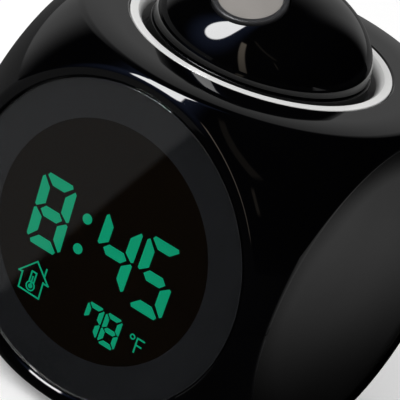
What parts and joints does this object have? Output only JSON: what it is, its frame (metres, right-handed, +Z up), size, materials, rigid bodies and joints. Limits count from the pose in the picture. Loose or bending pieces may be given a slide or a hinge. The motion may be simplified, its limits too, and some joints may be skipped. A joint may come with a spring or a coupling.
{
  "type": "projection alarm clock",
  "caption": "Glossy die-shaped projection alarm clock with a round lit display, matte side discs and a projector dome that presses down, turns and focuses in a white-ringed well.",
  "frame": {"origin": "on the standing surface, under the middle of the body", "axes": "+Z up through the dome; the display faces -Y; +X is to the right of someone facing it"},
  "size_m": [0.0854, 0.0846, 0.1004],
  "materials": {
    "gloss_black": "polished piano black",
    "matte_black": "fine satin texture",
    "window": "clear gloss window",
    "mask_grey": "dark grey print behind the window",
    "smoked_film": "dark brown-black film",
    "sign_green": "lit green signs",
    "display_glass": "display cell glass",
    "diffuser": "milky light guide",
    "white_gloss": "polished white",
    "grey_plastic": "satin dark grey",
    "clear_lens": "clear polished lens",
    "circuit_board": "green solder mask",
    "black_part": "moulded epoxy",
    "mixed_parts": "sleeved capacitors, crystal and sockets",
    "steel": "zinc-plated steel",
    "spring_steel": "drawn nickel-plated wire",
    "rubber": "moulded rubber",
    "cell_wrap": "plain printed sleeve",
    "magnet": "ground ferrite",
    "cone_paper": "pressed paper",
    "lamp": "clear cap over a yellow chip",
    "silicone": "striped silicone strip"
  },
  "bodies": {
    "housing": {"lower_housing": "gloss_black", "upper_housing": "gloss_black", "left_side_cover": "matte_black", "right_side_cover": "matte_black", "housing_screws": "steel", "front_left_foot": "rubber", "back_left_foot": "rubber", "front_right_foot": "rubber", "back_right_foot": "rubber", "front_glass": "window", "display_mask": "mask_grey", "display_signs": "sign_green", "smoked_filter": "smoked_film", "front_frame": "matte_black", "lcd_panel": "display_glass", "backlight": "diffuser", "display_connector": "silicone", "main_board": "circuit_board", "processor_chip": "black_part", "board_parts": "mixed_parts", "board_screws": "steel", "back_panel": "matte_black", "battery_tray": "matte_black", "battery_cell_1": "cell_wrap", "battery_cell_2": "cell_wrap", "battery_cell_3": "cell_wrap", "contact_plates": "steel", "contact_springs": "spring_steel", "button_board": "circuit_board", "button_switches": "black_part", "top_well": "white_gloss", "dome_board": "circuit_board", "press_switch": "black_part", "return_spring": "spring_steel", "speaker_frame": "steel", "speaker_cone": "cone_paper", "speaker_magnet": "magnet", "temperature_sensor": "black_part"},
    "battery_door": {"battery_door": "matte_black"},
    "mode_button": {"mode_button": "grey_plastic"},
    "set_button": {"set_button": "grey_plastic"},
    "down_button": {"down_button": "grey_plastic"},
    "up_button": {"up_button": "grey_plastic"},
    "carrier": {"dome_carrier": "grey_plastic", "press_plunger": "grey_plastic", "swivel_washer": "steel", "swivel_screw": "steel"},
    "dome": {"turntable": "gloss_black", "dome_shell": "gloss_black", "lens_barrel": "matte_black", "condenser_lens": "clear_lens", "projector_slide": "display_glass", "lamp_board": "circuit_board", "projector_lamp": "lamp"},
    "focus_ring": {"focus_ring": "grey_plastic", "lens_cell": "matte_black", "projection_lens": "clear_lens"}
  },
  "joints": [
    {"name": "dome_press", "type": "slide", "parent": "housing", "child": "carrier", "axis": [0, 0, -1], "range_m": [0, 0.002], "stiffness_N_per_m": 600, "springref_m": -0.0025, "deforming": ["return_spring"]},
    {"name": "dome_swivel", "type": "hinge", "parent": "carrier", "child": "dome", "pos_m": [0, 0, 0.0789], "axis": [0, 0, 1], "range_deg": [-90, 90]},
    {"name": "focus_turn", "type": "hinge", "parent": "dome", "child": "focus_ring", "pos_m": [0, -0.0126, 0.09769], "axis": [0, -0.4067, 0.9135], "range_deg": [-60, 60]},
    {"name": "battery_door_hinge", "type": "hinge", "parent": "housing", "child": "battery_door", "pos_m": [0, 0.0407, 0.02555], "axis": [-1, 0, 0], "range_deg": [0, 95]},
    {"name": "mode_button_press", "type": "slide", "parent": "housing", "child": "mode_button", "axis": [0, -1, 0], "range_m": [0, 0.0006], "stiffness_N_per_m": 800, "springref_m": -0.0004},
    {"name": "set_button_press", "type": "slide", "parent": "housing", "child": "set_button", "axis": [0, -1, 0], "range_m": [0, 0.0006], "stiffness_N_per_m": 800, "springref_m": -0.0004},
    {"name": "down_button_press", "type": "slide", "parent": "housing", "child": "down_button", "axis": [0, -1, 0], "range_m": [0, 0.0006], "stiffness_N_per_m": 800, "springref_m": -0.0004},
    {"name": "up_button_press", "type": "slide", "parent": "housing", "child": "up_button", "axis": [0, -1, 0], "range_m": [0, 0.0006], "stiffness_N_per_m": 800, "springref_m": -0.0004}
  ]
}
